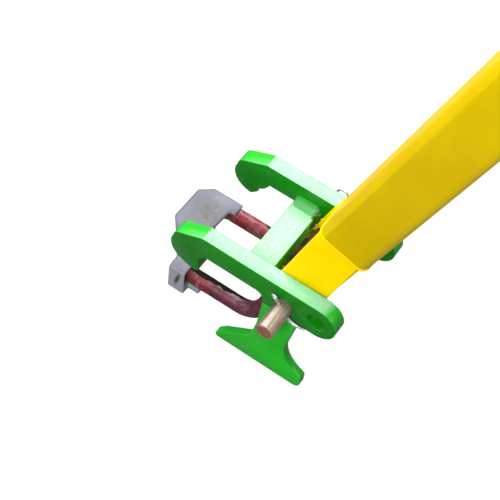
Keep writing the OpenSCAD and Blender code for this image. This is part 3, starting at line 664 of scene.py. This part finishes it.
# rings that weld the sleeve to both cheeks
sleeveWeld = {"radius": 2.4, "ring": 14, "y": 31, "points": 80, "depth": 0.1}
for side, tag in ((-1, "left"), (1, "right")):
    ring = []
    for i in range(sleeveWeld["points"]):
        t, size = 2 * math.pi * i / sleeveWeld["points"], sleeveWeld["ring"]
        ring.append(leverFrame @ (Vector((size * math.cos(t), side * sleeveWeld["y"], size * math.sin(t))) * mm))
    bead("sleeve-weld-" + tag, ring, sleeveWeld["radius"], "lever", yellowEnamel,
         ["sleeve_welds"] if side < 0 else [], sleeveWeld["depth"], True)
print("lever ready")

clip = {"rod": 15, "legY": 38, "legDrop": 65.5, "heelDrop": 36, "heelX": 58.5, "heelRun": 15.5, "bow": 5,
        "flat": 24, "split": 5, "rightToe": -40, "leftToe": -21, "bend": 13, "gap": 1.6, "hammered": 0.18}


def clipLeg(side, toe):
    # corners and bend radii of one half, from its toe to the split in the heel
    rear = clip["heelX"] + clip["bow"]
    return [((toe, side * clip["legY"], -clip["legDrop"]), clip["bend"]),
            ((rear - clip["heelRun"], side * clip["legY"], 1 - clip["legDrop"]), clip["bend"] * 1.7),
            ((rear, side * clip["legY"], -clip["heelDrop"]), clip["bend"] * 0.8),
            ((clip["heelX"], side * clip["flat"], -clip["heelDrop"]), clip["bend"] * 0.5),
            ((clip["heelX"], side * clip["split"] / 2, -clip["heelDrop"]), 0)]


def clipRod():
    corners = clipLeg(-1, clip["leftToe"])[::-1] + clipLeg(1, clip["rightToe"])
    points = roundedPath([Vector(p) * mm for p, r in corners], [r * mm for p, r in corners], clip["gap"] * mm)
    ends = [0.8, 0.93, 1.0]
    sizes = ends + [1.0] * (len(points) - 2 * len(ends)) + ends[::-1]
    points[1] = points[0].lerp(points[1], 0.25)
    points[-2] = points[-1].lerp(points[-2], 0.25)
    bm = sweep(points, clip["rod"] / 2 * mm, 40, sizes)
    for v in bm.verts:   # scaled and hammered skin
        v.co += v.normal * noise.noise(v.co * 170) * clip["hammered"] * mm
    return place(bm, "clip-rod-weathered", "clip", rodFinish, ["clip_rod"])


clipRod()

# the lip is short and lies over the right leg
moulding = {"lipSize": (17, 13.4, 2.8), "lipPlace": (-25.5, 37.9, -56.1), "voxel": 0.55, "soft": 0.5, "rounds": 30}


def insulator():
    # the CAD form with soft moulded edges
    bm = copyOf("toe_insulator")
    lip = bmesh.ops.create_cube(bm, size=1.0)["verts"]
    bmesh.ops.scale(bm, vec=Vector(moulding["lipSize"]) * mm, verts=lip)
    bmesh.ops.translate(bm, vec=Vector(moulding["lipPlace"]) * mm, verts=lip)
    piece = place(bm, "toe-insulator-moulded", "clip", nylonGrey, ["toe_insulator"])
    skin = piece.modifiers.new("moulding", "REMESH")
    skin.mode = "VOXEL"
    skin.voxel_size = moulding["voxel"] * mm
    skin.use_smooth_shade = True
    soft = piece.modifiers.new("soft edges", "SMOOTH")
    soft.factor = moulding["soft"]
    soft.iterations = moulding["rounds"]
    return piece


insulator()
print("clip ready")

room = {"floorHalf": 6, "floorZ": -0.1075, "paper": "#606060", "shown": "#6A6A6A", "glow": 0.9, "sky": 0.2,
        "mirrored": 0.15}
bm = bmesh.new()
bmesh.ops.create_grid(bm, x_segments=1, y_segments=1, size=room["floorHalf"])
bmesh.ops.translate(bm, vec=(0, 0, room["floorZ"]), verts=bm.verts)
floorMesh = bpy.data.meshes.new("floor")
bm.to_mesh(floorMesh)
bm.free()
floor = bpy.data.objects.new("floor", floorMesh)
scene.collection.objects.link(floor)


def backgroundSeen(tree):
    # the camera sees plain white, and gloss and glass a paler grey of the same
    rays = add(tree, "LightPath").outputs
    mirror = add(tree, "Math", {"operation": "MAXIMUM"}, {0: rays["Is Glossy Ray"], 1: rays["Is Transmission Ray"]})
    mirror = add(tree, "Math", {"operation": "MULTIPLY", 1: room["mirrored"]}, {0: mirror})
    return add(tree, "Math", {"operation": "MAXIMUM"}, {0: rays["Is Camera Ray"], 1: mirror})


# Matt white paper: to the camera it glows to plain white, and on the object it is a soft grey.
floorPaper, tree = newMaterial("whitePaperFloor")
paper = add(tree, "BsdfDiffuse", links={"Color": room["paper"]})
shown = add(tree, "BsdfDiffuse", links={"Color": room["shown"]})
glow = add(tree, "Emission", {"Strength": room["glow"]}, {"Color": "#FFFFFF"})
lit = add(tree, "AddShader", links={0: shown, 1: glow})
surface = add(tree, "MixShader", links={0: backgroundSeen(tree), 1: paper, 2: lit})
add(tree, "OutputMaterial", links={"Surface": surface})
floorMesh.materials.append(floorPaper)

world = bpy.data.worlds.new("paleRoom")
scene.world = world
world.use_nodes = True
tree = world.node_tree
tree.nodes.clear()
level = add(tree, "MapRange", {"To Min": room["sky"], "To Max": 1.0}, {"Value": backgroundSeen(tree)})
sky = add(tree, "Background", links={"Color": "#FFFFFF", "Strength": level})
add(tree, "OutputWorld", links={"Surface": sky})


def softbox(name, spot, aim, size, watts):
    data = bpy.data.lights.new(name, "AREA")
    data.shape = "SQUARE"
    data.size = size
    data.energy = watts
    lamp = bpy.data.objects.new(name, data)
    scene.collection.objects.link(lamp)
    lamp.location = spot
    lamp.rotation_mode = "QUATERNION"
    lamp.rotation_quaternion = (Vector(aim) - Vector(spot)).to_track_quat("-Z", "Y")
    return lamp


# each lamp's place and size in metres, and its watts
lamps = {"aim": (0.07, 0.0, 0.0),
         "back": ((-0.36, 1.06, 1.66), 1.2, 54), "key": ((0.48, -3.24, 3.6), 1.8, 207),
         "left": ((-2.0, -0.38, 1.2), 1.0, 25), "right": ((2.2, 0.3, 0.9), 1.0, 16)}
for name in ("back", "key", "left", "right"):
    spot, size, watts = lamps[name]
    softbox(name + " softbox", spot, lamps["aim"], size, watts)

# the photograph's lens and viewing angle, fitted to the outlines
view = {"lens": 87.82, "sensor": 36, "far": 50, "place": (0.2790, -0.5291, 0.8356),
        "right": (0.82353, 0.55955, 0.09327), "up": (-0.51102, 0.66039, 0.55023), "back": (0.24629, -0.50079, 0.82979)}
camera = bpy.data.objects.new("camera", bpy.data.cameras.new("camera"))
scene.collection.objects.link(camera)
camera.data.lens = view["lens"]
camera.data.sensor_width = view["sensor"]
camera.data.clip_end = view["far"]
turn = Matrix((view["right"], view["up"], view["back"])).transposed().to_4x4()
camera.matrix_world = Matrix.Translation(view["place"]) @ turn
scene.camera = camera
scene.view_settings.view_transform = "Standard"
print("stage ready")
